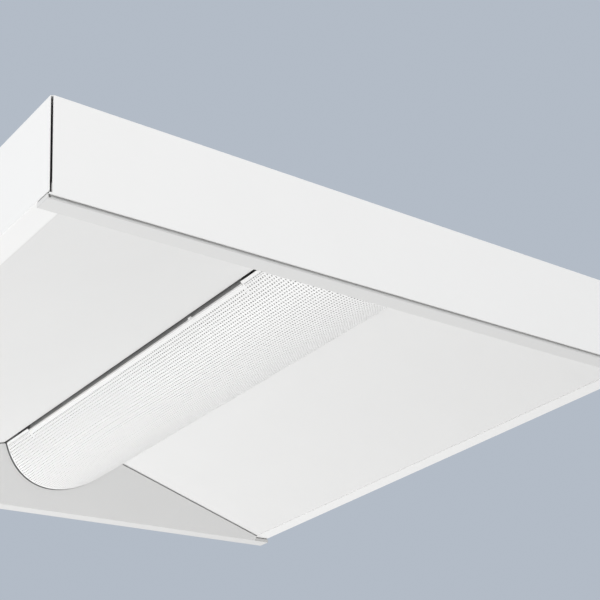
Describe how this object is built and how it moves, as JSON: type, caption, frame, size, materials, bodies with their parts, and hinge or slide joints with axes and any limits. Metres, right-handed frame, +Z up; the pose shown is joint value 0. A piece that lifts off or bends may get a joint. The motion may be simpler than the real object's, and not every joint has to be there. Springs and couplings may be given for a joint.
{
  "type": "recessed troffer light",
  "caption": "Square recessed ceiling luminaire in white sheet steel, with sloping reflectors and a curved perforated lens basket that hinges down for servicing.",
  "frame": {"origin": "middle of the underside, in the plane of the two end flanges' lower faces", "axes": "+Z up into the ceiling void, +X across the lens, +Y along the lens; the -Y end and the -X side are the two outer faces in the picture"},
  "size_m": [0.603, 0.603, 0.0829],
  "materials": {
    "white_enamel": "satin white powder coat",
    "basket_white": "satin white powder coat, perforated",
    "tray_white": "high-reflectance matt white",
    "galvanised_steel": "galvanised, dull",
    "clip_steel": "zinc plated",
    "spring_steel": "plain spring steel",
    "pin_steel": "zinc plated",
    "plated_screw": "zinc plated",
    "green_screw": "green dyed zinc",
    "board_white": "white solder mask on an aluminium core",
    "led_phosphor": "yellow phosphor in a white reflector",
    "connector_white": "moulded",
    "driver_case": "light grey coated case",
    "terminal_plastic": "moulded orange",
    "lead_black": "insulated lead",
    "lead_white": "insulated lead",
    "lead_green": "insulated lead",
    "lead_red": "insulated lead",
    "lead_blue": "insulated lead",
    "black_nylon": "moulded",
    "clip_nylon": "natural nylon",
    "frosted_diffuser": "frosted white",
    "magnet_black": "ferrite block in a plain finish"
  },
  "bodies": {
    "housing": {"access_plate": "galvanised_steel", "access_screws": "plated_screw", "board_connectors": "connector_white", "board_lead_negative": "lead_blue", "board_lead_positive": "lead_red", "board_screws": "plated_screw", "catch_brackets": "galvanised_steel", "catch_magnets": "magnet_black", "chamber_end_back": "white_enamel", "chamber_end_front": "white_enamel", "clip_brackets": "galvanised_steel", "clip_pins": "pin_steel", "driver_case": "driver_case", "driver_screws": "plated_screw", "end_braces": "galvanised_steel", "end_panel_back": "white_enamel", "end_panel_front": "white_enamel", "end_plate_back": "white_enamel", "end_plate_front": "white_enamel", "ground_screw": "green_screw", "hinge_brackets": "galvanised_steel", "hinge_pins": "pin_steel", "housing_pan": "white_enamel", "knockout_plug": "galvanised_steel", "lead_ground": "lead_green", "lead_live": "lead_black", "lead_neutral": "lead_white", "led_board_left": "board_white", "led_board_right": "board_white", "led_packages": "led_phosphor", "led_tray": "tray_white", "terminal_block": "terminal_plastic", "top_screws": "plated_screw", "wing_left": "white_enamel", "wing_right": "white_enamel", "wire_bushing": "black_nylon", "wire_clips": "clip_nylon"},
    "basket": {"basket_cover": "basket_white", "basket_diffuser": "frosted_diffuser", "basket_rail_left": "basket_white", "basket_rail_right": "basket_white", "diffuser_clips": "spring_steel"},
    "grid_clip_left_back_blade": {"grid_clip_left_back": "clip_steel"},
    "grid_clip_left_front_blade": {"grid_clip_left_front": "clip_steel"},
    "grid_clip_right_back_blade": {"grid_clip_right_back": "clip_steel"},
    "grid_clip_right_front_blade": {"grid_clip_right_front": "clip_steel"}
  },
  "joints": [
    {"name": "basket_hinge", "type": "hinge", "parent": "housing", "child": "basket", "pos_m": [0.0667, 0, 0.0482], "axis": [0, -1, 0], "range_deg": [0, 88]},
    {"name": "grid_clip_left_back_swing", "type": "hinge", "parent": "housing", "child": "grid_clip_left_back_blade", "pos_m": [-0.2986, 0.082, 0.045], "axis": [0, 0, 1], "range_deg": [0, 90]},
    {"name": "grid_clip_left_front_swing", "type": "hinge", "parent": "housing", "child": "grid_clip_left_front_blade", "pos_m": [-0.2986, -0.118, 0.045], "axis": [0, 0, 1], "range_deg": [0, 90]},
    {"name": "grid_clip_right_front_swing", "type": "hinge", "parent": "housing", "child": "grid_clip_right_front_blade", "pos_m": [0.2986, -0.082, 0.045], "axis": [0, 0, 1], "range_deg": [0, 90]},
    {"name": "grid_clip_right_back_swing", "type": "hinge", "parent": "housing", "child": "grid_clip_right_back_blade", "pos_m": [0.2986, 0.118, 0.045], "axis": [0, 0, 1], "range_deg": [0, 90]}
  ]
}
